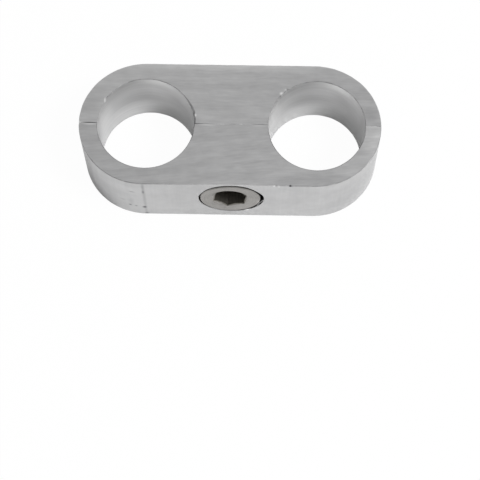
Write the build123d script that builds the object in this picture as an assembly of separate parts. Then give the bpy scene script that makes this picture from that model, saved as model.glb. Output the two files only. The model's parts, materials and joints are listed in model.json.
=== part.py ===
from build123d import *
import math
import os

# Twin tube clamp: a two-piece block that holds two parallel hydraulic tubes side by side.
#
# The block is a flat bar with fully rounded ends, split along its length through the axes of both
# tube seats. One socket head cap screw, in the web between the seats, draws the halves together.
# Its head sits flush in a counterbore in the front half and its thread runs into a blind tapped
# hole in the rear half.
#
# Frame, in millimetres: the block lies on one of its sawn faces, with its base at Z = 0 and its
# middle over the origin. +Z runs along the tubes, X from one tube seat to the other, and Y = 0 is
# the split plane. The screw lies along Y, with its head towards -Y.

# Tube seats and block
tube_diameter = 16.0  # of each closed seat
tube_spacing = 28.2  # from one tube axis to the other
side_wall = 2.9  # metal in front of a seat and behind it
end_wall = 2.8  # metal beyond the seats, as the mean of the block's two ends
block_height = 13.0  # length of the block along the tubes
bore_shift = 0.20  # the seats and the screw lie this far to +X of the middle of the block
rim_break = 0.10  # chamfer round the sawn faces, outside and at the seats
split_break = 0.05  # chamfer round the faces where the halves meet
left_lip_gap = 0.15  # the front half's left lip is cut short, and stays open when the screw is tight

# M6 socket head cap screw, lying on the tapped hole's axis
thread_diameter = 6.0
thread_pitch = 1.0
tip_chamfer = 0.7
head_diameter = 10.0
head_height = 6.0
head_chamfer = 0.25
neck_fillet = 0.25
socket_across_flats = 5.0
socket_depth = 3.0
socket_mouth_chamfer = 0.30  # past the corners of the hexagon, as the mean of the six
socket_mouth_drift = -0.15  # the bevel at the mouth was cut this far off the axis, towards -X,
socket_mouth_rise = 0.25  # and this far above it
socket_turn = 8.5  # degrees, as tightened: the lowest corner points a little to -X

# Screw holes
screw_rise = 0.5  # screw axis above the middle of the block
front_hole_drift = 0.17  # the front half's hole lies this far to +X of the tapped one,
front_hole_rise = 0.30  # and this far above it
head_recess = 0.05  # head below the front of the block
counterbore_gap = 0.40  # radial, round the head
counterbore_break = 0.06  # chamfer at the counterbore's mouth
shank_gap = 0.50  # radial, round the shank in the front half
thread_gap = 0.05  # radial, round the thread in the rear half
hole_countersink = 0.30  # at the split plane, and under the head to clear its fillet
tip_gap = 0.75  # tapped thread left past the end of the screw
drill_runout = 0.5  # drilled hole left past the last full thread
rear_skin = 1.0  # metal left behind the drill point

# Tools
drill_point_angle = 118.0
socket_drill_angle = 120.0
mouth_cutter_angle = 120.0
cut_margin = 1.0  # how far a cutter runs clear of the metal

# Worked out from the sizes above
seat_radius = tube_diameter / 2
half_depth = seat_radius + side_wall
block_length = tube_spacing + tube_diameter + 2 * end_wall
screw_height = block_height / 2 + screw_rise
head_face_y = -half_depth + head_recess
head_seat_y = head_face_y + head_height
tapped_radius = thread_diameter / 2 + thread_gap
drill_radius = (thread_diameter - thread_pitch) / 2
drill_end_y = half_depth - rear_skin - drill_radius / math.tan(math.radians(drill_point_angle / 2))
thread_end_y = drill_end_y - drill_runout
screw_tip_y = thread_end_y - tip_gap  # leaves 12 under the head, a stock length


def turned(profile):
    """Solid turned about the screw axis from an outline of (radius, y) points."""
    lathe_plane = Plane(origin=(bore_shift, 0, screw_height), x_dir=(1, 0, 0), z_dir=(0, 0, 1))
    outline = lathe_plane * make_face(Polyline(*profile, close=True))
    return revolve(outline, Axis((bore_shift, 0, screw_height), (0, 1, 0)))


def half_section(side):
    """Outline of one half, seen along the tubes: side is +1 for the rear half, -1 for the front."""
    section = SlotOverall(block_length, 2 * half_depth)
    for x in (-tube_spacing / 2, tube_spacing / 2):
        section -= Pos(bore_shift + x, 0) * Circle(seat_radius)
    section &= Pos(0, side * half_depth / 2) * Rectangle(block_length, half_depth)
    return section


def finished_half(section):
    """One half cut to length from its section, with the edges of its faces broken."""
    half = extrude(section, block_height)

    def at_split(shape):
        return abs(shape.center().Y) < side_wall / 2

    sawn_faces = half.faces().filter_by(Axis.Z)
    rims = [edge for face in sawn_faces for edge in face.edges() if not at_split(edge)]
    half = chamfer(rims, rim_break)
    split_faces = [face for face in half.faces().filter_by(Axis.Y) if at_split(face)]
    split_edges = [edge for face in split_faces for edge in face.edges()]
    return chamfer(split_edges, split_break)


def rear_half():
    """Rear jaw: a blind tapped hole, drilled with a pointed drill and countersunk at its mouth."""
    hole = turned(
        [
            (0, -cut_margin),
            (tapped_radius + hole_countersink, -cut_margin),
            (tapped_radius + hole_countersink, 0),
            (tapped_radius, hole_countersink),
            (tapped_radius, thread_end_y),
            (drill_radius, thread_end_y + tapped_radius - drill_radius),
            (drill_radius, drill_end_y),
            (0, half_depth - rear_skin),
        ]
    )
    return finished_half(half_section(1)) - hole


def front_half():
    """Front jaw: a counterbore for the screw's head, and a clearance hole behind it."""
    head_hole_radius = head_diameter / 2 + counterbore_gap
    shank_hole_radius = thread_diameter / 2 + shank_gap
    hole = turned(
        [
            (0, -half_depth - cut_margin),
            (head_hole_radius + counterbore_break, -half_depth - cut_margin),
            (head_hole_radius + counterbore_break, -half_depth),
            (head_hole_radius, -half_depth + counterbore_break),
            (head_hole_radius, head_seat_y),
            (shank_hole_radius + hole_countersink, head_seat_y),
            (shank_hole_radius, head_seat_y + hole_countersink),
            (shank_hole_radius, -hole_countersink),
            (shank_hole_radius + hole_countersink, 0),
            (shank_hole_radius + hole_countersink, cut_margin),
            (0, cut_margin),
        ]
    )
    short_lip = Rectangle(block_length, 2 * left_lip_gap, align=(Align.MAX, Align.CENTER))
    section = half_section(-1) - Pos(bore_shift - tube_spacing / 2, 0) * short_lip
    return finished_half(section) - Pos(front_hole_drift, 0, front_hole_rise) * hole


def key_socket():
    """Cutter for the hexagon socket: flat-sided, with a bevelled mouth and a drilled floor."""
    across_corners = socket_across_flats / math.cos(math.pi / 6)
    face_centre = (bore_shift, head_face_y, screw_height)
    face_plane = Plane(origin=face_centre, x_dir=(1, 0, 0), z_dir=(0, -1, 0))
    hexagon = Rot(0, 0, -socket_turn) * RegularPolygon(across_corners / 2, 6, rotation=30)
    hexagon_floor_y = head_face_y + socket_depth
    socket = extrude(face_plane * hexagon, -socket_depth)
    floor_radius = socket_across_flats / 2
    floor_point = floor_radius / math.tan(math.radians(socket_drill_angle / 2))
    socket += turned(
        [
            (0, head_face_y),
            (floor_radius, head_face_y),
            (floor_radius, hexagon_floor_y),
            (0, hexagon_floor_y + floor_point),
        ]
    )
    mouth_radius = across_corners / 2 + socket_mouth_chamfer
    mouth_point = mouth_radius / math.tan(math.radians(mouth_cutter_angle / 2))
    mouth = turned(
        [
            (0, head_face_y),
            (mouth_radius, head_face_y),
            (0, head_face_y + mouth_point),
        ]
    )
    return socket + Pos(socket_mouth_drift, 0, socket_mouth_rise) * mouth


def clamp_screw():
    """Cap screw: chamfered head, filleted neck, shank as wide as the thread, and a chamfered tip."""
    head_radius = head_diameter / 2
    shank_radius = thread_diameter / 2
    blank = turned(
        [
            (0, head_face_y),
            (head_radius - head_chamfer, head_face_y),
            (head_radius, head_face_y + head_chamfer),
            (head_radius, head_seat_y),
            (shank_radius, head_seat_y),
            (shank_radius, screw_tip_y - tip_chamfer),
            (shank_radius - tip_chamfer, screw_tip_y),
            (0, screw_tip_y),
        ]
    )
    head_underside = blank.faces().filter_by(Axis.Y).sort_by(Axis.Y)[1]
    neck = head_underside.edges().sort_by(SortBy.RADIUS)[0]
    return fillet(neck, neck_fillet) - key_socket()


os.makedirs("parts", exist_ok=True)
export_step(rear_half(), "parts/rear_half.step")
export_step(front_half(), "parts/front_half.step")
export_step(clamp_screw(), "parts/clamp_screw.step")
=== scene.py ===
"""Looks of the twin tube clamp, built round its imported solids.

Each jaw is a piece of aluminium bar: sawn flat across the top and base, milled along its sides,
bored for the tubes and split. The cap screw has its real thread, key socket and knurl, and the
rear jaw's hole is tapped to match. Lengths are in metres, in the part's own frame: +Z along the
tubes, X from seat to seat, Y = 0 the split plane, the screw along Y with its head at -Y.
"""

import json
import math

import bmesh
import bpy
from mathutils import Matrix, Vector, noise


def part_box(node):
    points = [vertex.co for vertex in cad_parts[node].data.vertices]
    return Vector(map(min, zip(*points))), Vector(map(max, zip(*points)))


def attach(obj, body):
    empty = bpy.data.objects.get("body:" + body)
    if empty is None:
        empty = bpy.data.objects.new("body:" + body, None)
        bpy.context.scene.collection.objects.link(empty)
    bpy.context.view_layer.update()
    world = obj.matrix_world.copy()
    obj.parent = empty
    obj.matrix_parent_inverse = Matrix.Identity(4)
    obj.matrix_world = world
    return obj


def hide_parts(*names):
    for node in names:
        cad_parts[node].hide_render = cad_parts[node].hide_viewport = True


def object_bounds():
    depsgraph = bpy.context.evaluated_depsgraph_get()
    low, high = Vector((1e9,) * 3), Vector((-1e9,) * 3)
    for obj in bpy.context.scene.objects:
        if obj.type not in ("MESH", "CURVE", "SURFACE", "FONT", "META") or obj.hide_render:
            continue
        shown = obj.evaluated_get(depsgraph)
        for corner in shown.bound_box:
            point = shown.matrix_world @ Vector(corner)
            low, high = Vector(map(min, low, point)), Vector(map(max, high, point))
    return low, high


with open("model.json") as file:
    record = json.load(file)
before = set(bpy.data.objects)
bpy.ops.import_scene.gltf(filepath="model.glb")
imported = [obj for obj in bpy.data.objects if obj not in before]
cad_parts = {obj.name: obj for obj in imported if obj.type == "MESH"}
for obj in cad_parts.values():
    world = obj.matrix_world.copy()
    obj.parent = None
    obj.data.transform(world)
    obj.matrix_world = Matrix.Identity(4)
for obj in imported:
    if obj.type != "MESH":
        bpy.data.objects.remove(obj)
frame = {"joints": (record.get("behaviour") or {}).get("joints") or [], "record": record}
cad_low, cad_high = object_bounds()

MM = 0.001
WELD_DISTANCE = 1e-8

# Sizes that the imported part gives
MOUNTS = {mount["name"]: mount for mount in frame["record"]["mounts"]}
JOINTS = {joint["name"]: joint for joint in frame["joints"]}
COUPLING = frame["record"]["behaviour"]["couplings"][0]
SCREW_LOW, SCREW_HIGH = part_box("clamp_screw")
SEAT_RADIUS = MOUNTS["right_seat"]["dims"]["r_mm"] * MM
LEFT_SEAT_X = MOUNTS["left_seat"]["pos_m"][0]
RIGHT_SEAT_X = MOUNTS["right_seat"]["pos_m"][0]
HALF_DEPTH = cad_high.y
END_X = cad_high.x - HALF_DEPTH  # where the rounded ends are centred, to either side of the middle
HEIGHT = cad_high.z
SCREW_X, _, SCREW_Z = JOINTS["screw_turn"]["pos_m"]
PITCH = 2 * math.pi / COUPLING["ratio"]  # jaw travel for one turn of the screw
HEAD_RADIUS = (SCREW_HIGH.x - SCREW_LOW.x) / 2
HEAD_FACE_Y = SCREW_LOW.y
SCREW_TIP_Y = SCREW_HIGH.y

# Block
SHARP_ANGLE = math.radians(28)
RIM_BREAK = 0.10 * MM
SPLIT_BREAK = 0.05 * MM
LEFT_LIP_GAP = 0.06 * MM  # at the seat: the lip leans, and its outer end touches the rear jaw
LIP_LEAN = 1.2 * MM  # length over which the gap opens
OUTLINE_STEP = 0.15 * MM  # spacing of points along a jaw's outline
RIM_WOBBLE = 0.6  # unevenness of the hand-filed rims, as a share of their width
RIM_WOBBLE_LENGTH = 0.9 * MM
SCREW_WINDOW = 7.0 * MM  # half width of the front face that is filled in round the counterbore

# Screw holes
HOLE_SIDES = 144
FRONT_HOLE_DRIFT = 0.17 * MM  # the front jaw's hole lies this far to +X of the screw,
FRONT_HOLE_RISE = 0.30 * MM  # and this far above it
FRONT_HOLE = (SCREW_X + FRONT_HOLE_DRIFT, SCREW_Z + FRONT_HOLE_RISE)
COUNTERBORE_GAP = 0.40 * MM  # radial, round the head
COUNTERBORE_RADIUS = HEAD_RADIUS + COUNTERBORE_GAP
COUNTERBORE_BREAK = 0.06 * MM
SHANK_HOLE_RADIUS = 3.50 * MM
COUNTERSINK = 0.30 * MM
TIP_GAP = 0.75 * MM  # tapped thread left past the screw's tip
DRILL_RUNOUT = 0.5 * MM  # drilled hole left past the thread
REAR_SKIN = 1.0 * MM  # metal left behind the drill point
TAPPED_RADIUS = 3.05 * MM
TAPPED_DEPTH = 0.541 * PITCH  # the standard depth of a 60 degree thread in a nut,
DRILL_RADIUS = TAPPED_RADIUS - TAPPED_DEPTH
TAPPED_END_Y = SCREW_TIP_Y + TIP_GAP
DRILL_END_Y = TAPPED_END_Y + DRILL_RUNOUT
DRILL_POINT_Y = HALF_DEPTH - REAR_SKIN

# Burrs round the counterbore's mouth, as (angle from +Z towards +X, half width, reach inwards)
MOUTH_BURRS = (
    (math.radians(150), math.radians(8), 0.19 * MM),
    (math.radians(52), math.radians(30), 0.20 * MM),
    (math.radians(-62), math.radians(20), 0.12 * MM),
)

# A curl of swarf that hangs in the gap beside the head
CURL_START = math.radians(97)
CURL_END = math.radians(128)
CURL_REACH = 0.36 * MM
CURL_THICKNESS = 0.08 * MM
CURL_ROOT = 0.05 * MM  # its ends lie this deep in the counterbore's wall
CURL_SINK = 0.02 * MM  # behind the head's face
CURL_STEPS = 12

# Cap screw
SCREW_SIDES = 240
ROWS_PER_TURN = 16
SPARE_TURNS = 2  # rows past either end of a thread, which keep its ends whole all round
HEAD_HEIGHT = 6.0 * MM
HEAD_SEAT_Y = HEAD_FACE_Y + HEAD_HEIGHT
HEAD_CHAMFER = 0.12 * MM
UNDERHEAD_CHAMFER = 0.15 * MM
KNURL_GROOVES = 40
KNURL_DEPTH = 0.14 * MM
KNURL_MARGIN = 0.8 * MM  # plain ends of the head, before the knurl and behind it
NECK_FILLET = 0.25 * MM
NECK_STEPS = 4
SHANK_RADIUS = 2.98 * MM
PLAIN_SHANK = 1.2 * MM
THREAD_DEPTH = 0.613 * PITCH  # and on a screw
CREST_HALF_WIDTH = 1 / 16  # of a pitch
TIP_CHAMFER = 0.7 * MM

# Key socket
KEY_RADIUS = 2.5 * MM  # to the socket's flats
KEY_TURN = math.radians(8.5)
KEY_DEPTH = 3.0 * MM
KEY_DRILL_ANGLE = math.radians(120)
KEY_CORNER_RADIUS = KEY_RADIUS / math.cos(math.pi / 6)
KEY_FLOOR_Y = HEAD_FACE_Y + KEY_DEPTH
KEY_POINT_Y = KEY_FLOOR_Y + KEY_RADIUS / math.tan(KEY_DRILL_ANGLE / 2)
MOUTH_BEVEL = 0.30 * MM  # how far the bevel at the socket's mouth reaches past the corners
MOUTH_RADIUS = KEY_CORNER_RADIUS + MOUTH_BEVEL
MOUTH_DRIFT = -0.15 * MM  # the bevel was cut this far off the axis, towards -X,
MOUTH_RISE = 0.25 * MM  # and this far above it
MOUTH = (SCREW_X + MOUTH_DRIFT, SCREW_Z + MOUTH_RISE)
MOUTH_SLOPE = math.tan(math.radians(30))
MOUTH_DARK_BAND = 0.17 * MM  # width of a dark band on the bevel, in the socket's darker steel

# Nicks, burrs and uneven stretches of the top rims, as (x, y, reach, depth) in millimetres. Where the
# depth is negative, metal stands out past the rim.
REAR_MARKS = (
    (-20.9, 3.9, 0.45, -0.20),
    (-19.7, 5.5, 0.30, -0.16),
    (8.7, 5.9, 0.40, -0.20),
    (9.4, 6.4, 0.30, 0.25),
    (-6.0, 1.6, 0.45, -0.16),
    (-5.9, 2.2, 3.4, 0.26),
    (-21.6, 2.4, 3.6, -0.28),
    (6.8, 3.0, 2.2, -0.20),
)
FRONT_MARKS = (
    (7.6, -10.9, 0.30, 0.12),
    (10.0, -10.9, 0.35, 0.14),
)

# Material slots of a jaw and of the screw
SAWN, MILLED, BORED, SPLIT, RIM, DRILLED = range(6)
FACE, KNURL, SOCKET, THREAD = range(4)


# ---------------------------------------------------------------- meshes


def new_piece(name, bm, materials):
    """Turn a bmesh into an object, smooth except at real edges and where two finishes meet."""
    bmesh.ops.remove_doubles(bm, verts=bm.verts, dist=WELD_DISTANCE)
    bmesh.ops.recalc_face_normals(bm, faces=bm.faces)
    for edge in bm.edges:
        one_finish = len({face.material_index for face in edge.link_faces}) == 1
        edge.smooth = one_finish and edge.calc_face_angle(math.pi) < SHARP_ANGLE
    mesh = bpy.data.meshes.new(name)
    bm.to_mesh(mesh)
    bm.free()
    for material in materials:
        mesh.materials.append(material)
    for polygon in mesh.polygons:
        polygon.use_smooth = True
    piece = bpy.data.objects.new(name, mesh)
    bpy.context.scene.collection.objects.link(piece)
    return piece


def screw_point(bm, radius, angle, y, centre=(SCREW_X, SCREW_Z)):
    """Point at an angle round an (x, z) centre, the screw axis as a rule, from +Z towards +X."""
    x, z = centre
    return bm.verts.new((x + radius * math.sin(angle), y, z + radius * math.cos(angle)))


def screw_ring(bm, radius, y, sides, centre=(SCREW_X, SCREW_Z), phase=0.0):
    """Ring of points round a centre. radius may be a number or a function of the angle."""
    points = []
    for i in range(sides):
        angle = 2 * math.pi * i / sides + phase
        r = radius(angle) if callable(radius) else radius
        points.append(screw_point(bm, r, angle, y, centre))
    return points


def bridge(bm, first, second, slot):
    """Band of faces between two rings with as many points."""
    for i in range(len(first)):
        j = (i + 1) % len(first)
        face = bm.faces.new((first[i], first[j], second[j], second[i]))
        face.material_index = slot


def cone_to_point(bm, ring, y, slot):
    """Close a ring with a cone that ends on the screw axis."""
    point = bm.verts.new((SCREW_X, y, SCREW_Z))
    for i in range(len(ring)):
        face = bm.faces.new((ring[i], ring[(i + 1) % len(ring)], point))
        face.material_index = slot


def thread_radius(turns, major, depth):
    """Radius of a 60 degree thread, with a flat crest centred where turns is a whole number."""
    from_crest = abs(turns - round(turns))
    drop = (from_crest - CREST_HALF_WIDTH) * math.sqrt(3) * PITCH
    return major - min(max(drop, 0.0), depth)


def threaded_band(bm, start, end, radius_at, sides, phase, slot):
    """Threaded skin between two flat rings, right-handed about +Y, with its crests on one helix.

    radius_at(turns, y) gives the radius, and has to be the same all round at start and at end.
    """
    first = screw_ring(bm, radius_at(0, start), start, sides, phase=phase)
    last = screw_ring(bm, radius_at(0, end), end, sides, phase=phase)
    lowest = (math.floor(start / PITCH) - SPARE_TURNS) * ROWS_PER_TURN
    highest = (math.ceil(end / PITCH) + SPARE_TURNS) * ROWS_PER_TURN
    grid = []
    for i in range(sides):
        angle = 2 * math.pi * i / sides + phase
        column = []
        for row in range(lowest, highest + 1):
            turns = row / ROWS_PER_TURN
            y = (turns + angle / (2 * math.pi)) * PITCH
            if y <= start:
                column.append(first[i])
            elif y >= end:
                column.append(last[i])
            else:
                column.append(screw_point(bm, radius_at(turns, y), angle, y))
        grid.append(column)
    top = highest - lowest
    for i in range(sides):
        after = (i + 1) % sides
        shift = ROWS_PER_TURN if after == 0 else 0
        for j in range(top):
            a, b = min(j + shift, top), min(j + 1 + shift, top)
            corners = dict.fromkeys((grid[i][j], grid[i][j + 1], grid[after][b], grid[after][a]))
            if len(corners) > 2:
                bm.faces.new(tuple(corners)).material_index = slot
    return first, last


def arc_points(x, radius, start, end, facing):
    """Outline points on an arc about (x, 0), with normals out of the metal: facing is +1 or -1."""
    count = max(2, round(abs(end - start) * radius / OUTLINE_STEP))
    points = []
    for i in range(count + 1):
        angle = start + (end - start) * i / count
        c, s = math.cos(angle), math.sin(angle)
        points.append((x + radius * c, radius * s, facing * c, facing * s, RIM_BREAK, 0.0))
    return points


def split_points(start, end, gap):
    """Outline points along a split face, with a gap that opens from its start."""
    count = max(2, round((end - start) / OUTLINE_STEP))
    points = []
    for i in range(count + 1):
        tuck = RIM_BREAK * ((i == 0) - (i == count))
        along = (end - start) * i / count
        y = gap * min(along / LIP_LEAN, 1.0)
        points.append((start + along, y, 0.0, -1.0, SPLIT_BREAK, tuck))
    return points


def jaw_outline(left_gap):
    """Section of a jaw that lies towards +Y, as (x, y, normal x, normal y, break, tuck) points.

    The break is the width of the chamfer there. The tuck shifts a rim's point along X, in from the
    end of a split face.
    """
    outer = math.asin(SPLIT_BREAK / HALF_DEPTH)
    seat = math.asin(SPLIT_BREAK / SEAT_RADIUS)
    seat_left = math.asin((SPLIT_BREAK + left_gap) / SEAT_RADIUS)
    to_split = SEAT_RADIUS + SPLIT_BREAK
    end = END_X + HALF_DEPTH - SPLIT_BREAK
    back_count = round(2 * END_X / OUTLINE_STEP)
    points = arc_points(END_X, HALF_DEPTH, outer, math.pi / 2, 1)
    for i in range(1, back_count):
        points.append((END_X * (1 - 2 * i / back_count), HALF_DEPTH, 0.0, 1.0, RIM_BREAK, 0.0))
    points += arc_points(-END_X, HALF_DEPTH, math.pi / 2, math.pi - outer, 1)
    points += split_points(-end, LEFT_SEAT_X - to_split, left_gap)
    points += arc_points(LEFT_SEAT_X, SEAT_RADIUS, math.pi - seat_left, seat, -1)
    points += split_points(LEFT_SEAT_X + to_split, RIGHT_SEAT_X - to_split, 0.0)
    points += arc_points(RIGHT_SEAT_X, SEAT_RADIUS, math.pi - seat, seat, -1)
    points += split_points(RIGHT_SEAT_X + to_split, end, 0.0)
    return points


def rim_cut(x, y, z, size, marks):
    """How far a rim's chamfer cuts in here: uneven by hand, and changed by the marks near it."""
    wobble = noise.noise(Vector((x, y, z)) / RIM_WOBBLE_LENGTH)
    cut = size * (1 + RIM_WOBBLE * wobble)
    for mark_x, mark_y, reach, depth in marks:
        away = math.hypot(x / MM - mark_x, y / MM - mark_y) / reach
        if away < 1:
            cut += depth * MM * (1 - away * away) ** 2
    return cut


def fill_round_hole(bm, columns, hole, slot):
    """Flat face between a run of outline columns and a ring that lies inside it."""
    edges = []
    for a, b in zip(columns, columns[1:]):
        edges.append(bm.edges.get((a[1], b[1])))
        edges.append(bm.edges.get((a[2], b[2])))
    for column in (columns[0], columns[-1]):
        edges.append(bm.edges.get((column[1], column[2])))
    for i in range(len(hole)):
        edges.append(bm.edges.get((hole[i], hole[(i + 1) % len(hole)])))
    made = bmesh.ops.triangle_fill(bm, edges=edges, use_beauty=True)
    for face in made["geom"]:
        if isinstance(face, bmesh.types.BMFace):
            face.material_index = slot


def jaw_block(bm, side, left_gap, marks, open_front):
    """Walls, rims, top and base of a jaw, side +1 behind the split and -1 before it.

    Returns the columns of points round the openings left for the screw: at the split face and, if
    open_front, at the outside too.
    """
    columns = []
    outline = jaw_outline(left_gap)
    for x, y, nx, ny, size, tuck in outline:
        base = rim_cut(x, side * y, 0.0, size, ())
        top = rim_cut(x, side * y, HEIGHT, size, marks)
        wall_top = HEIGHT - max(top, SPLIT_BREAK)  # below the rim, also where a burr makes top negative
        column = []
        for z, cut in ((0, base), (base, 0), (wall_top, 0), (HEIGHT, top)):
            inset = tuck if cut else 0.0
            column.append(bm.verts.new((x - nx * cut + inset, side * (y - ny * cut), z)))
        columns.append(column)
    in_split, in_front = [], []
    for i, (x, y, _, ny, size, _) in enumerate(outline):
        j = (i + 1) % len(outline)
        next_x, next_size = outline[j][0], outline[j][4]
        a, b = columns[i], columns[j]
        along_split = size == next_size == SPLIT_BREAK
        from_seat = math.hypot(x - (RIGHT_SEAT_X if x > SCREW_X else LEFT_SEAT_X), y)
        along_seat = not along_split and from_seat < SEAT_RADIUS + RIM_BREAK
        if along_split and LEFT_SEAT_X < x < RIGHT_SEAT_X:
            in_split.append(i)
        elif open_front and ny == 1.0 and max(abs(x - SCREW_X), abs(next_x - SCREW_X)) < SCREW_WINDOW:
            in_front.append(i)
        else:
            wall = bm.faces.new((a[1], b[1], b[2], a[2]))
            wall.material_index = SPLIT if along_split else BORED if along_seat else MILLED
        for k in (0, 2):
            bm.faces.new((a[k], b[k], b[k + 1], a[k + 1])).material_index = RIM
    for level in (0, 3):
        cap = bm.faces.new([column[level] for column in columns])
        cap.material_index = SAWN
    return [columns[run[0] : run[-1] + 2] if run else [] for run in (in_split, in_front)]


def build_rear_jaw(materials):
    """Rear jaw: the block, and the blind hole: countersink, thread, runout and drill point."""
    bm = bmesh.new()
    in_split, _ = jaw_block(bm, 1, 0.0, REAR_MARKS, False)

    def tapped(turns, y):
        fade = min(max((TAPPED_END_Y - y) / PITCH, 0.0), 1.0)
        cut = thread_radius(turns, TAPPED_RADIUS, TAPPED_DEPTH)
        return max(DRILL_RADIUS + (cut - DRILL_RADIUS) * fade, TAPPED_RADIUS + COUNTERSINK - y)

    mouth, runout = threaded_band(bm, 0.0, TAPPED_END_Y, tapped, HOLE_SIDES, 0.0, DRILLED)
    drill_end = screw_ring(bm, DRILL_RADIUS, DRILL_END_Y, HOLE_SIDES)
    bridge(bm, runout, drill_end, DRILLED)
    cone_to_point(bm, drill_end, DRILL_POINT_Y, DRILLED)
    fill_round_hole(bm, in_split, mouth, SPLIT)
    return new_piece("rear_jaw", bm, materials)


def mouth_burr(angle):
    """How far the burred edge of the counterbore's mouth reaches inwards here."""
    reach = 0.0
    for centre, half_width, depth in MOUTH_BURRS:
        away = math.remainder(angle - centre, 2 * math.pi) / half_width
        if abs(away) < 1:
            reach += depth * (1 - away * away) ** 2
    return reach


def burred(radius):
    """Radius of the counterbore's burred edge, as a function of the angle."""
    return lambda angle: radius - mouth_burr(angle)


def add_curl(bm):
    """Thin three-sided curl that leaves the counterbore's wall and comes back to it."""
    front = HEAD_FACE_Y + CURL_SINK
    sections = []
    for i in range(CURL_STEPS + 1):
        share = i / CURL_STEPS
        angle = CURL_START + (CURL_END - CURL_START) * share
        outer = COUNTERBORE_RADIUS + CURL_ROOT - CURL_REACH * math.sin(math.pi * share)
        corners = (
            (outer, front),
            (outer - CURL_THICKNESS, front + CURL_THICKNESS / 2),
            (outer, front + CURL_THICKNESS),
        )
        sections.append([screw_point(bm, r, angle, y, FRONT_HOLE) for r, y in corners])
    for first, second in zip(sections, sections[1:]):
        bridge(bm, first, second, RIM)
    for end in (sections[0], sections[-1]):
        bm.faces.new(end).material_index = RIM


def build_front_jaw(materials):
    """Front jaw: the block, with the counterbore for the head and the clearance hole behind it."""
    bm = bmesh.new()
    in_split, in_front = jaw_block(bm, -1, LEFT_LIP_GAP, FRONT_MARKS, True)
    profile = (
        (burred(COUNTERBORE_RADIUS + COUNTERBORE_BREAK), -HALF_DEPTH),
        (burred(COUNTERBORE_RADIUS), -HALF_DEPTH + COUNTERBORE_BREAK),
        (COUNTERBORE_RADIUS, HEAD_SEAT_Y),
        (SHANK_HOLE_RADIUS + COUNTERSINK, HEAD_SEAT_Y),
        (SHANK_HOLE_RADIUS, HEAD_SEAT_Y + COUNTERSINK),
        (SHANK_HOLE_RADIUS, -COUNTERSINK),
        (SHANK_HOLE_RADIUS + COUNTERSINK, 0.0),
    )
    rings = [screw_ring(bm, radius, y, HOLE_SIDES, FRONT_HOLE) for radius, y in profile]
    for first, second in zip(rings, rings[1:]):
        bridge(bm, first, second, DRILLED)
    fill_round_hole(bm, in_front, rings[0], MILLED)
    fill_round_hole(bm, in_split, rings[-1], SPLIT)
    add_curl(bm)
    return new_piece("front_jaw", bm, materials)


def key_radius(angle):
    """Distance from the screw axis to the key socket's wall."""
    sixth = math.pi / 3
    from_flat = (angle - KEY_TURN) % sixth - sixth / 2
    return KEY_RADIUS / math.cos(from_flat)


def knurl_radius(angle):
    """Outside of the head across its straight knurl: flat-topped ridges between grooves."""
    wave = 0.5 + 0.5 * math.cos(KNURL_GROOVES * (angle - KEY_TURN))
    return HEAD_RADIUS - KNURL_DEPTH * wave**2


def build_cap_screw(materials):
    """Cap screw, from the bottom of its socket out over the head and down to the tip."""
    bm = bmesh.new()

    def ring(radius, y):
        return screw_ring(bm, radius, y, SCREW_SIDES, phase=KEY_TURN)

    drilled_floor = ring(KEY_RADIUS, KEY_FLOOR_Y)
    cone_to_point(bm, drilled_floor, KEY_POINT_Y, SOCKET)
    mouth = ring(key_radius, HEAD_FACE_Y)
    dark_band = ring(lambda angle: key_radius(angle) + MOUTH_DARK_BAND, HEAD_FACE_Y)
    for point in mouth + dark_band:  # down onto the bevel, which is cut as a cone about MOUTH
        from_centre = math.hypot(point.co.x - MOUTH[0], point.co.z - MOUTH[1])
        point.co.y += max(MOUTH_RADIUS - from_centre, 0.0) * MOUTH_SLOPE
    chain = [
        (drilled_floor, SOCKET),
        (ring(key_radius, KEY_FLOOR_Y), SOCKET),
        (mouth, SOCKET),
        (dark_band, SOCKET),
        (screw_ring(bm, MOUTH_RADIUS, HEAD_FACE_Y, SCREW_SIDES, MOUTH, KEY_TURN), FACE),
        (ring(HEAD_RADIUS - HEAD_CHAMFER, HEAD_FACE_Y), FACE),
        (ring(HEAD_RADIUS, HEAD_FACE_Y + HEAD_CHAMFER), FACE),
        (ring(HEAD_RADIUS, HEAD_FACE_Y + KNURL_MARGIN - KNURL_DEPTH), KNURL),
        (ring(knurl_radius, HEAD_FACE_Y + KNURL_MARGIN), KNURL),
        (ring(knurl_radius, HEAD_SEAT_Y - KNURL_MARGIN), KNURL),
        (ring(HEAD_RADIUS, HEAD_SEAT_Y - KNURL_MARGIN + KNURL_DEPTH), KNURL),
        (ring(HEAD_RADIUS, HEAD_SEAT_Y - UNDERHEAD_CHAMFER), KNURL),
        (ring(HEAD_RADIUS - UNDERHEAD_CHAMFER, HEAD_SEAT_Y), KNURL),
    ]
    for step in range(NECK_STEPS + 1):
        turn = step / NECK_STEPS * math.pi / 2
        r = SHANK_RADIUS + NECK_FILLET * (1 - math.sin(turn))
        chain.append((ring(r, HEAD_SEAT_Y + NECK_FILLET * (1 - math.cos(turn))), THREAD))
    for (first, _), (second, slot) in zip(chain, chain[1:]):
        bridge(bm, first, second, slot)

    thread_start = HEAD_SEAT_Y + PLAIN_SHANK

    def threaded(turns, y):
        fade = min(max((y - thread_start) / PITCH, 0.0), 1.0)
        cut = thread_radius(turns, SHANK_RADIUS, THREAD_DEPTH)
        tip = SHANK_RADIUS - TIP_CHAMFER + SCREW_TIP_Y - y
        return min(SHANK_RADIUS + (cut - SHANK_RADIUS) * fade, tip)

    shank_end, tip = threaded_band(
        bm, thread_start, SCREW_TIP_Y, threaded, SCREW_SIDES, KEY_TURN, THREAD
    )
    bridge(bm, chain[-1][0], shank_end, THREAD)
    bm.faces.new(tip).material_index = THREAD
    return new_piece("cap_screw", bm, materials)


# ---------------------------------------------------------------- shader nodes

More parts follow.
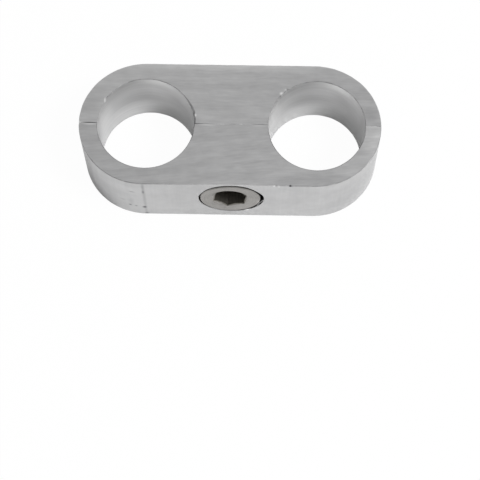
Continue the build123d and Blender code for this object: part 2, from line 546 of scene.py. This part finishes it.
NOISE_MIDDLE = 0.5  # the value that noise varies about
WIDE_LINES = (0.3, 0.22, 0.3)  # scale of the broad tool lines against the fine ones,
WIDE_LINES_HEIGHT = 0.8  # and their height
MM_IN_A_METRE = (1 / MM, 1 / MM, 1 / MM)  # along each axis


def node(tree, kind, inputs=None, **settings):
    """Add a shader node. inputs holds plain values, or the sockets to link them from, by name."""
    made = tree.nodes.new(kind)
    for name, value in settings.items():
        setattr(made, name, value)
    for name, value in (inputs or {}).items():
        if isinstance(value, bpy.types.NodeSocket):
            tree.links.new(value, made.inputs[name])
        else:
            made.inputs[name].default_value = value
    return made


def maths(tree, operation, *values):
    """Output of a Math node."""
    return node(tree, "ShaderNodeMath", dict(enumerate(values)), operation=operation).outputs[0]


def vector_maths(tree, operation, *values, output="Vector"):
    """Output of a Vector Math node."""
    made = node(tree, "ShaderNodeVectorMath", dict(enumerate(values)), operation=operation)
    return made.outputs[output]


def noise_value(tree, vector, detail=2.0, roughness=0.5):
    """Noise from 0 to 1, one cell for each unit of the vector."""
    inputs = {"Vector": vector, "Scale": 1.0, "Detail": detail, "Roughness": roughness}
    return node(tree, "ShaderNodeTexNoise", inputs).outputs[0]


def from_screw_axis(tree, position):
    """Distance from the screw axis, in mm."""
    centred = vector_maths(tree, "SUBTRACT", position, (SCREW_X / MM, 0, SCREW_Z / MM))
    across = vector_maths(tree, "MULTIPLY", centred, (1, 0, 1))
    return vector_maths(tree, "LENGTH", across, output="Value")


def new_group(name, inputs, outputs):
    """Start a shader node group. Returns its tree, the inputs to read and the outputs to fill."""
    tree = bpy.data.node_groups.new(name, "ShaderNodeTree")
    for label, value in inputs.items():
        kind = "NodeSocketFloat" if isinstance(value, float) else "NodeSocketVector"
        socket = tree.interface.new_socket(label, in_out="INPUT", socket_type=kind)
        socket.default_value = value
    for label in outputs:
        tree.interface.new_socket(label, in_out="OUTPUT", socket_type="NodeSocketFloat")
    return tree, tree.nodes.new("NodeGroupInput").outputs, tree.nodes.new("NodeGroupOutput").inputs


def tool_lines_group():
    """Fine lines that a saw blade, cutter or reamer leaves. Scale is in lines per mm on each axis."""
    tree, given, out = new_group(
        "tool_lines",
        {"Position": (0, 0, 0), "Turn": (0, 0, 0), "Scale": (1, 1, 1)},
        ("Height", "Tone"),
    )
    turned = node(
        tree,
        "ShaderNodeMapping",
        {"Vector": given["Position"], "Rotation": given["Turn"]},
    ).outputs[0]
    fine_lines = vector_maths(tree, "MULTIPLY", turned, given["Scale"])
    fine = noise_value(tree, fine_lines, detail=3.0, roughness=0.6)
    wide_lines = vector_maths(tree, "MULTIPLY", fine_lines, WIDE_LINES)
    wide = noise_value(tree, wide_lines)
    height = maths(tree, "MULTIPLY_ADD", wide, WIDE_LINES_HEIGHT, fine)
    tree.links.new(height, out["Height"])
    middle = NOISE_MIDDLE * (1 + WIDE_LINES_HEIGHT)
    tree.links.new(maths(tree, "SUBTRACT", height, middle), out["Tone"])
    return tree


def clouds_group():
    """Slow, soft changes of tone across a surface, from about -0.5 to 0.5."""
    tree, given, out = new_group("clouds", {"Position": (0, 0, 0), "Scale": (1, 1, 1)}, ("Tone",))
    value = noise_value(tree, vector_maths(tree, "MULTIPLY", given["Position"], given["Scale"]))
    tree.links.new(maths(tree, "SUBTRACT", value, NOISE_MIDDLE), out["Tone"])
    return tree


def turned_rings_group():
    """Rings that a lathe tool or a drill leaves about the screw's axis."""
    tree, given, out = new_group(
        "turned_rings", {"Position": (0, 0, 0), "Rings per mm": 3.0}, ("Height", "Tone")
    )
    radius = from_screw_axis(tree, given["Position"])
    inputs = {"W": maths(tree, "MULTIPLY", radius, given["Rings per mm"]), "Detail": 2.0}
    rings = node(tree, "ShaderNodeTexNoise", inputs, noise_dimensions="1D").outputs[0]
    tree.links.new(rings, out["Height"])
    tree.links.new(maths(tree, "SUBTRACT", rings, NOISE_MIDDLE), out["Tone"])
    return tree


def spot_group():
    """One soft spot or line: 1 at its centre, falling to 0 at its reach along each axis."""
    tree, given, out = new_group(
        "spot", {"Position": (0, 0, 0), "Centre": (0, 0, 0), "Reach": (1, 1, 1)}, ("Mask",)
    )
    away = vector_maths(tree, "SUBTRACT", given["Position"], given["Centre"])
    share = vector_maths(tree, "DIVIDE", away, given["Reach"])
    distance = vector_maths(tree, "LENGTH", share, output="Value")
    inputs = {"Value": distance, "To Min": 1.0, "To Max": 0.0}
    mask = node(tree, "ShaderNodeMapRange", inputs, interpolation_type="SMOOTHSTEP")
    tree.links.new(mask.outputs[0], out["Mask"])
    return tree


TOOL_LINES = tool_lines_group()
CLOUDS = clouds_group()
TURNED_RINGS = turned_rings_group()
SPOT = spot_group()


def place(tree, group, **inputs):
    """Place a node group. Returns its outputs."""
    named = {name.replace("_", " "): value for name, value in inputs.items()}
    return node(tree, "ShaderNodeGroup", named, node_tree=group).outputs


def new_metal(name):
    """Start a metal's material. Returns it, its tree and the position in mm on the piece."""
    material = bpy.data.materials.new(name)
    material.use_nodes = True
    tree = material.node_tree
    tree.nodes.clear()
    coordinates = node(tree, "ShaderNodeTexCoord").outputs["Object"]
    return material, tree, vector_maths(tree, "MULTIPLY", coordinates, MM_IN_A_METRE)


def weighed(tree, base, *pairs):
    """base plus each value times its weight."""
    total = base
    for value, weight in pairs:
        total = maths(tree, "MULTIPLY_ADD", value, weight, total)
    return total


def patches(tree, position, spots):
    """Masks and weights of soft spots, each given as a centre and a reach in mm and a weight."""
    pairs = []
    for centre, reach, weight in spots:
        mask = place(tree, SPOT, Position=position, Centre=centre, Reach=reach)["Mask"]
        pairs.append((mask, weight))
    return pairs


def on_top(x, y, reach_x, reach_y, weight):
    """Spot on the top face and just below it."""
    return (x, y, HEIGHT / MM), (reach_x, reach_y, TOP_SPOT_DEPTH), weight


def on_front(x, z, reach_x, reach_z, weight):
    """Spot on the front, and round its rounded ends."""
    return (x, -HALF_DEPTH / MM, z), (reach_x, HALF_DEPTH / MM, reach_z), weight


def in_seat(seat_x, x, y, z, reach, weight):
    """Spot in a tube seat, with x measured from the seat's axis."""
    return (seat_x / MM + x, y, z), reach, weight


def finish_metal(tree, metal, tone, roughness, height, relief):
    """Colour the metal from its dark to its light as tone goes from 0 to 1, with relief in mm.

    Dark marks and painted shade take the tone below 0, and painted highlights, such as on a burr that
    catches the lamp, take it above 1.
    """
    dark, light = metal
    mix = node(tree, "ShaderNodeMix", data_type="RGBA", clamp_factor=False)
    kept = node(tree, "ShaderNodeClamp", {"Value": tone, "Min": TONE_LOW, "Max": TONE_HIGH})
    tree.links.new(kept.outputs[0], mix.inputs["Factor"])
    mix.inputs["A"].default_value = (*dark, 1)
    mix.inputs["B"].default_value = (*light, 1)
    bump = node(tree, "ShaderNodeBump", {"Height": height, "Distance": relief * MM})
    shader = node(
        tree,
        "ShaderNodeBsdfPrincipled",
        {
            "Base Color": mix.outputs["Result"],
            "Metallic": 1.0,
            "Roughness": roughness,
            "Normal": bump.outputs[0],
        },
    )
    output = node(tree, "ShaderNodeOutputMaterial")
    tree.links.new(shader.outputs[0], output.inputs["Surface"])


def worked_metal(
    name,
    metal,
    *,
    tone,
    lines,
    line_tone,
    clouds,
    cloud_tone,
    roughness,
    relief,
    line_turn=0.0,
    line_roughness=0.0,
    drift=0.0,
    mottle_tone=0.0,
    spots=(),
):
    """Material of bare metal with tool lines, clouds and spots.

    lines and clouds are cells per mm on each axis, and each ..._tone is how far they change the tone.
    line_turn is in degrees about Z, drift is a change of tone for each mm along X, and relief, the
    depth of the lines, is in mm.
    """
    material, tree, position = new_metal(name)
    turn = (0, 0, math.radians(line_turn))
    tool_lines = place(tree, TOOL_LINES, Position=position, Turn=turn, Scale=lines)
    cloud = place(tree, CLOUDS, Position=position, Scale=clouds)["Tone"]
    parts = [(tool_lines["Tone"], line_tone), (cloud, cloud_tone)]
    if drift:
        along = node(tree, "ShaderNodeSeparateXYZ", {0: position}).outputs["X"]
        parts.append((along, drift))
    if mottle_tone:
        mottle = place(tree, CLOUDS, Position=position, Scale=MOTTLE)["Tone"]
        parts.append((mottle, mottle_tone))
    parts += patches(tree, position, spots)
    if line_roughness:
        roughness = weighed(tree, roughness, (tool_lines["Tone"], line_roughness))
    height = tool_lines["Height"]
    finish_metal(tree, metal, weighed(tree, tone, *parts), roughness, height, relief)
    return material


# ---------------------------------------------------------------- materials

# Each metal's dark and light
ALUMINIUM = ((0.40, 0.40, 0.405), (0.70, 0.70, 0.70))
STEEL = ((0.17, 0.165, 0.155), (0.50, 0.485, 0.465))
DARK_STEEL = ((0.17, 0.16, 0.14), (0.5, 0.48, 0.44))
TONE_LOW = -1.1
TONE_HIGH = 1.9
MOTTLE = (0.8, 0.8, 0.8)  # clouds per mm
TOP_SPOT_DEPTH = 1.0  # mm

# Spots as place, reach and weight, in millimetres. A lighter spot has a weight above 0 and a darker one
# a weight below it.
# Most are painted light and shade: painted highlights on burrs, rims and nicks, painted shade in nicks,
# and lighter and darker patches that stand in for how the lamp falls. The rest are marks and random
# tone.
# Painted highlights where the burrs on the top rims catch the lamp
BURR_GLINTS = (
    on_top(-20.75, 4.0, 0.28, 0.80, 1.4),
    on_top(-19.60, 5.5, 0.30, 0.30, 0.8),
    on_top(-5.70, 1.5, 0.25, 0.45, 1.0),
    on_top(8.45, 5.7, 0.50, 0.45, 1.4),
    on_top(9.20, 6.4, 0.35, 0.30, 1.0),
)
# Top of the rear jaw: the burrs' painted highlights, a painted light along the rear edge, and darker
# ends
REAR_TOP_GLINTS_LIGHT_AND_TONE = (
    *BURR_GLINTS,
    on_top(0.0, 10.9, 30.0, 2.4, 0.42),
    on_top(-23.5, 3.0, 4.0, 7.0, -0.20),
    on_top(23.0, 2.2, 2.2, 1.8, -0.20),
)
# Top of the front jaw: darker along the front edge, painted light over the right end with small lighter
# marks there, and a painted highlight along the split edge
FRONT_TOP_LIGHT_AND_TONE = (
    on_top(16.0, -10.9, 12.0, 3.0, -0.25),
    on_top(25.2, -2.5, 5.5, 9.0, 0.40),
    on_top(24.2, -1.9, 1.0, 0.9, 0.15),
    on_top(23.6, -3.4, 1.2, 0.9, 0.15),
    on_top(-23.0, -0.30, 1.8, 0.30, 0.7),
    on_top(-3.9, -0.15, 2.4, 0.35, 0.5),
    on_top(4.8, -0.20, 1.8, 0.40, 0.2),
)
# Rims: the burrs' painted highlights, painted highlights beside the nicks at the front edge and painted
# shade in one of them, and painted highlights round the right seat and right end, along the front edge
# and along the split
RIM_GLINTS_AND_SHADE = (
    *BURR_GLINTS,
    on_top(7.3, -10.9, 0.35, 0.5, 0.8),
    on_top(8.1, -10.9, 0.30, 0.5, 0.8),
    on_top(9.4, -10.9, 0.30, 0.5, 0.8),
    on_top(10.0, -10.9, 0.30, 0.4, -2.0),
    on_top(20.0, 5.6, 3.0, 4.5, 0.6),
    on_top(22.0, -6.5, 3.5, 5.0, 0.6),
    on_top(23.6, 0.0, 1.6, 0.4, 0.6),
    on_top(0.0, -10.9, 15.0, 0.5, 1.6),
    on_top(0.0, 0.0, 6.0, 0.3, 0.9),
    on_top(-25.2, 0.0, 2.2, 0.6, 1.6),
)
# Front side: a dark upright line where the left round end begins and dark specks beside it; painted
# shade over the left end and over the right part; a painted highlight on a burr at the counterbore's
# mouth; painted highlights at two nicks by the top edge and painted shade in a third
FRONT_SIDE_SHADE_GLINTS_AND_MARKS = (
    on_front(-14.0, 6.5, 0.40, 13.0, -0.40),
    on_front(-14.1, 11.5, 0.35, 2.5, -0.35),
    on_front(-14.1, 9.5, 0.35, 1.0, -0.8),
    on_front(-14.2, 3.1, 0.55, 0.65, -1.5),
    on_front(-13.9, 0.5, 0.60, 0.5, -0.9),
    on_front(-16.6, 3.3, 0.40, 0.45, -1.3),
    on_front(-15.6, 3.3, 0.35, 0.35, -1.1),
    on_front(-16.0, 9.2, 0.80, 0.3, -0.8),
    on_front(-16.3, 5.2, 0.70, 2.2, -0.25),
    on_front(-17.8, 4.8, 0.80, 0.6, -0.35),
    on_front(-23.0, 0.0, 7.0, 13.0, -0.70),
    on_front(21.0, 4.0, 7.0, 8.0, -0.20),
    on_front(3.0, 2.6, 0.70, 0.50, 0.8),
    on_front(7.4, 12.8, 0.35, 0.4, 0.8),
    on_front(8.2, 12.6, 0.30, 0.4, 0.6),
    on_front(10.1, 12.9, 0.45, 0.4, -1.2),
)
# Painted light and shade in each tube seat, as x from the seat's axis, y, z, reach and weight: painted
# shade across the middle of the rear wall, painted light on the left wall, and painted shade on the
# left wall's front part and on the rear wall to the right
SEAT_LIGHT_AND_SHADE = (
    (-1.5, 7.0, 6.4, (7.0, 6.0, 3.2), -0.6),
    (-7.3, 3.4, 8.5, (3.0, 3.5, 7.0), 0.35),
    (-7.6, -2.0, 5.0, (3.0, 5.0, 9.0), -0.75),
    (4.5, 6.0, 8.5, (4.0, 4.0, 3.5), -0.35),
)
# Tube seats: the burrs' painted highlights, a painted light near the top of each rear wall, and the
# seats' painted light and shade above
BORE_GLINTS_LIGHT_AND_SHADE = (
    *BURR_GLINTS,
    in_seat(LEFT_SEAT_X, 1.6, 7.6, 12.8, (5.0, 3.0, 2.4), 0.75),
    in_seat(RIGHT_SEAT_X, 3.0, 7.2, 12.8, (5.0, 3.4, 2.6), 0.75),
    *(in_seat(LEFT_SEAT_X, *patch) for patch in SEAT_LIGHT_AND_SHADE),
    *(in_seat(RIGHT_SEAT_X, *patch) for patch in SEAT_LIGHT_AND_SHADE),
)
# A painted highlight at the edge of the head's face
HEAD_GLINT = (((5.0, -10.6, 5.9), (0.4, 0.6, 1.0), 1.2),)


def sawn_aluminium(name, line_turn, tone, drift, spots):
    """Bandsawn top and base: short fine lines nearly along X, and a tone that may drift along X."""
    return worked_metal(
        name,
        ALUMINIUM,
        tone=tone,
        drift=drift,
        lines=(0.4, 3.6, 1.0),
        line_turn=line_turn,
        line_tone=0.45,
        clouds=(0.5, 0.6, 0.5),
        cloud_tone=0.3,
        spots=spots,
        roughness=0.42,
        line_roughness=0.15,
        relief=0.002,
    )


def milled_aluminium(name, spots):
    """Milled sides: faint upright cutter lines, and the marks that they have taken since."""
    return worked_metal(
        name,
        ALUMINIUM,
        tone=0.5,
        lines=(3.0, 3.0, 0.12),
        line_tone=0.3,
        clouds=(0.12, 0.12, 0.25),
        cloud_tone=0.5,
        mottle_tone=0.25,
        spots=spots,
        roughness=0.38,
        line_roughness=0.1,
        relief=0.0015,
    )


def bored_aluminium(name, spots):
    """Bored tube seats: fine level rings left by the boring tool."""
    return worked_metal(
        name,
        ALUMINIUM,
        tone=0.8,
        lines=(0.15, 0.15, 5.0),
        line_tone=0.5,
        clouds=(0.12, 0.12, 0.2),
        cloud_tone=0.35,
        spots=spots,
        roughness=0.4,
        line_roughness=0.1,
        relief=0.002,
    )


def slit_aluminium(name):
    """Split faces, cut by a slitting saw: straight lines along X."""
    return worked_metal(
        name,
        ALUMINIUM,
        tone=0.5,
        lines=(0.15, 1.0, 6.0),
        line_tone=0.35,
        clouds=(0.1, 0.1, 0.3),
        cloud_tone=0.2,
        roughness=0.4,
        relief=0.004,
    )


def filed_aluminium(name, spots):
    """Rims broken with a file: short scratches, bright and dark by turns."""
    return worked_metal(
        name,
        ALUMINIUM,
        tone=0.25,
        lines=(1.5, 1.5, 4.0),
        line_tone=0.8,
        clouds=(0.9, 0.9, 0.9),
        cloud_tone=1.6,
        spots=spots,
        roughness=0.35,
        relief=0.004,
    )


def drilled_aluminium(name):
    """Screw holes: rings from the drill and counterbore, painted darker as shade in the holes."""
    return worked_metal(
        name,
        ALUMINIUM,
        tone=0.15,
        lines=(0.3, 4.0, 0.3),
        line_tone=0.4,
        clouds=(0.4, 0.4, 0.4),
        cloud_tone=0.3,
        roughness=0.42,
        relief=0.004,
    )


def socket_steel(name):
    """Key socket: pressed walls with lines along Y, in darker steel."""
    return worked_metal(
        name,
        DARK_STEEL,
        tone=0.1,
        lines=(3.0, 0.3, 3.0),
        line_tone=0.4,
        clouds=(0.8, 0.8, 0.8),
        cloud_tone=0.5,
        roughness=0.45,
        relief=0.01,
    )


def turned_steel(name):
    """Face of the screw's head: fine turned rings in warm grey steel, and one painted highlight at its
    edge.
    """
    material, tree, position = new_metal(name)
    rings = place(tree, TURNED_RINGS, Position=position, Rings_per_mm=2.6)
    clouds = place(tree, CLOUDS, Position=position, Scale=(0.5, 0.5, 0.5))
    # painted highlight at the edge of the face
    head_glint = patches(tree, position, HEAD_GLINT)
    tone = weighed(tree, 0.5, (rings["Tone"], 1.3), (clouds["Tone"], 0.4), *head_glint)
    finish_metal(tree, STEEL, tone, roughness=0.36, height=rings["Height"], relief=0.006)
    return material


def knurled_steel(name):
    """Side of the screw's head: rolled knurl, darker than the face."""
    material, tree, position = new_metal(name)
    clouds = place(tree, CLOUDS, Position=position, Scale=(2.0, 0.7, 2.0))["Tone"]
    tone = weighed(tree, 0.3, (clouds, 0.6))
    finish_metal(tree, STEEL, tone, roughness=0.4, height=clouds, relief=0.02)
    return material


def threaded_steel(name):
    """Shank and thread: rolled smooth, darker in the roots than on the crests."""
    material, tree, position = new_metal(name)
    lines = place(tree, TOOL_LINES, Position=position, Scale=(0.6, 6.0, 0.6))
    root = (SHANK_RADIUS - THREAD_DEPTH) / MM
    radius = from_screw_axis(tree, position)
    rise = {"Value": radius, "From Min": root, "From Max": SHANK_RADIUS / MM}
    crest = node(tree, "ShaderNodeMapRange", rise).outputs[0]
    tone = weighed(tree, 0.1, (crest, 0.5), (lines["Tone"], 0.3))
    finish_metal(tree, STEEL, tone, roughness=0.33, height=lines["Height"], relief=0.002)
    return material


# ---------------------------------------------------------------- studio

FLOOR_SIZE = 3.0
FLOOR_Z = -0.01 * MM
FLOOR_TONE = 0.90
FLOOR_GRAIN = 0.02
FLOOR_ROUGHNESS = 0.9
FLOOR_SEEN_WHITE = 0.97  # share of plain white that the camera sees in the floor
FLOOR_MIRRORED_WHITE = 0.10  # the same in reflections

# Strengths of the studio's walls and ceiling, by the direction in which they are seen
HORIZON_FRONT = 0.35
HORIZON_BACK = 0.95
HORIZON_SPAN = 0.5  # of a unit direction's Y, to either side of 0
SKY_LEFT = 0.50
SKY_RIGHT = 0.87
SKY_SPAN = 0.7  # of its X, to either side of 0
SKY_STARTS = 0.05  # of its Z, where the horizon begins to give way to the sky
SKY_ALONE = 0.45  # of its Z, above which there is only sky

LAMP_PLACE = Vector((0.30, -0.15, 0.55))
LAMP_SIZE = 0.16
LAMP_POWER = 2.4


def add_floor():
    """Pale table top, lifted to white for the camera, which still takes the clamp's shadow."""
    bm = bmesh.new()
    bmesh.ops.create_grid(bm, x_segments=4, y_segments=4, size=FLOOR_SIZE / 2)
    mesh = bpy.data.meshes.new("table_top")
    bm.to_mesh(mesh)
    bm.free()
    floor = bpy.data.objects.new("table_top", mesh)
    floor.location.z = FLOOR_Z
    bpy.context.scene.collection.objects.link(floor)
    material = bpy.data.materials.new("white_table")
    material.use_nodes = True
    tree = material.node_tree
    tree.nodes.clear()
    grain = noise_value(tree, node(tree, "ShaderNodeTexCoord").outputs["Object"])
    tone = weighed(tree, FLOOR_TONE, (grain, FLOOR_GRAIN))
    colour = node(tree, "ShaderNodeCombineColor", {"Red": tone, "Green": tone, "Blue": tone})
    board = node(
        tree,
        "ShaderNodeBsdfPrincipled",
        {"Base Color": colour.outputs[0], "Roughness": FLOOR_ROUGHNESS},
    )
    white = node(tree, "ShaderNodeEmission", {"Strength": 1.0})
    ray = node(tree, "ShaderNodeLightPath").outputs
    mirrored = maths(tree, "MAXIMUM", ray["Is Glossy Ray"], ray["Is Transmission Ray"])
    share = weighed(
        tree, 0.0, (ray["Is Camera Ray"], FLOOR_SEEN_WHITE), (mirrored, FLOOR_MIRRORED_WHITE)
    )
    both = node(tree, "ShaderNodeMixShader", {0: share, 1: board.outputs[0], 2: white.outputs[0]})
    output = node(tree, "ShaderNodeOutputMaterial")
    tree.links.new(both.outputs[0], output.inputs["Surface"])
    mesh.materials.append(material)


def add_world():
    """Soft studio round the table: white at the far horizon, grey above, lighter towards +X."""
    world = bpy.data.worlds.new("studio")
    bpy.context.scene.world = world
    world.use_nodes = True
    tree = world.node_tree
    tree.nodes.clear()
    direction = node(tree, "ShaderNodeTexCoord").outputs["Generated"]
    axes = node(tree, "ShaderNodeSeparateXYZ", {0: direction}).outputs
    across = {"Value": axes["X"], "From Min": -SKY_SPAN, "From Max": SKY_SPAN}
    sky = node(tree, "ShaderNodeMapRange", {**across, "To Min": SKY_LEFT, "To Max": SKY_RIGHT})
    up = {"Value": maths(tree, "ABSOLUTE", axes["Z"]), "From Min": SKY_STARTS, "From Max": SKY_ALONE}
    rise = node(tree, "ShaderNodeMapRange", up, interpolation_type="SMOOTHSTEP")
    depth = {"Value": axes["Y"], "From Min": -HORIZON_SPAN, "From Max": HORIZON_SPAN}
    low = {**depth, "To Min": HORIZON_FRONT, "To Max": HORIZON_BACK}
    horizon = node(tree, "ShaderNodeMapRange", low).outputs[0]
    blend = {"Factor": rise.outputs[0], "A": horizon, "B": sky.outputs[0]}
    strength = node(tree, "ShaderNodeMix", blend).outputs[0]
    background = node(tree, "ShaderNodeBackground", {"Strength": strength})
    output = node(tree, "ShaderNodeOutputWorld")
    tree.links.new(background.outputs[0], output.inputs["Surface"])


def add_key_lamp():
    """Square soft box aimed at the clamp."""
    lamp = bpy.data.lights.new("key_lamp", "AREA")
    lamp.size = LAMP_SIZE
    lamp.energy = LAMP_POWER
    holder = bpy.data.objects.new("key_lamp", lamp)
    holder.location = LAMP_PLACE
    holder.rotation_euler = (-LAMP_PLACE).to_track_quat("-Z", "Y").to_euler()
    bpy.context.scene.collection.objects.link(holder)


CAMERA_AIM = Vector((1.95, -17.89, 6.5)) * MM
CAMERA_DISTANCE = 256.17 * MM
CAMERA_AZIMUTH = math.radians(1.405)
CAMERA_ELEVATION = math.radians(69.22)
CAMERA_ROLL = math.radians(-0.437)
CAMERA_LENS = 116.94
CAMERA_NEAR = 10 * MM


def add_camera():
    """Camera in front of the clamp, looking steeply down past it."""
    level = math.cos(CAMERA_ELEVATION)
    forward = Vector(
        (
            -math.sin(CAMERA_AZIMUTH) * level,
            math.cos(CAMERA_AZIMUTH) * level,
            -math.sin(CAMERA_ELEVATION),
        )
    )
    right = forward.cross(Vector((0, 0, 1))).normalized()
    up = right.cross(forward)
    upright = Matrix((right, up, -forward)).transposed().to_4x4()
    lens = bpy.data.cameras.new("camera")
    lens.lens = CAMERA_LENS
    lens.clip_start = CAMERA_NEAR
    camera = bpy.data.objects.new("camera", lens)
    place_at = Matrix.Translation(CAMERA_AIM - forward * CAMERA_DISTANCE)
    camera.matrix_world = place_at @ upright @ Matrix.Rotation(CAMERA_ROLL, 4, "Z")
    bpy.context.scene.collection.objects.link(camera)
    bpy.context.scene.camera = camera


# ---------------------------------------------------------------- the clamp


def add_clamp():
    """The three pieces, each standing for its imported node."""
    shared = [
        bored_aluminium("bored_aluminium", BORE_GLINTS_LIGHT_AND_SHADE),
        slit_aluminium("slit_aluminium"),
        filed_aluminium("filed_rims", RIM_GLINTS_AND_SHADE),
        drilled_aluminium("drilled_aluminium"),
    ]
    # The rear top is painted lighter than the front top (tone 0.54 against 0.46), a painted light that
    # evens out how the lamp falls over the two tops. The rear top also grows darker towards +X.
    rear_top = sawn_aluminium(
        "rear_sawn", line_turn=1.5, tone=0.54, drift=-0.008, spots=REAR_TOP_GLINTS_LIGHT_AND_TONE
    )
    front_top = sawn_aluminium(
        "front_sawn", line_turn=-6.0, tone=0.46, drift=0.0, spots=FRONT_TOP_LIGHT_AND_TONE
    )
    rear_sides = milled_aluminium("rear_milled_sides", spots=())
    front_sides = milled_aluminium("front_milled_sides", spots=FRONT_SIDE_SHADE_GLINTS_AND_MARKS)
    rear_jaw = build_rear_jaw([rear_top, rear_sides, *shared])
    front_jaw = build_front_jaw([front_top, front_sides, *shared])
    cap_screw = build_cap_screw(
        [
            turned_steel("turned_steel"),
            knurled_steel("knurled_steel"),
            socket_steel("socket_steel"),
            threaded_steel("threaded_steel"),
        ]
    )
    for piece, node_name, slot in (
        (rear_jaw, "rear_half", "rear_aluminium"),
        (front_jaw, "front_half", "front_aluminium"),
        (cap_screw, "clamp_screw", "screw_steel"),
    ):
        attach(piece, node_name)
        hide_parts(node_name)


add_camera()
add_clamp()
add_floor()
add_world()
add_key_lamp()

bpy.context.scene.view_settings.view_transform = "Standard"
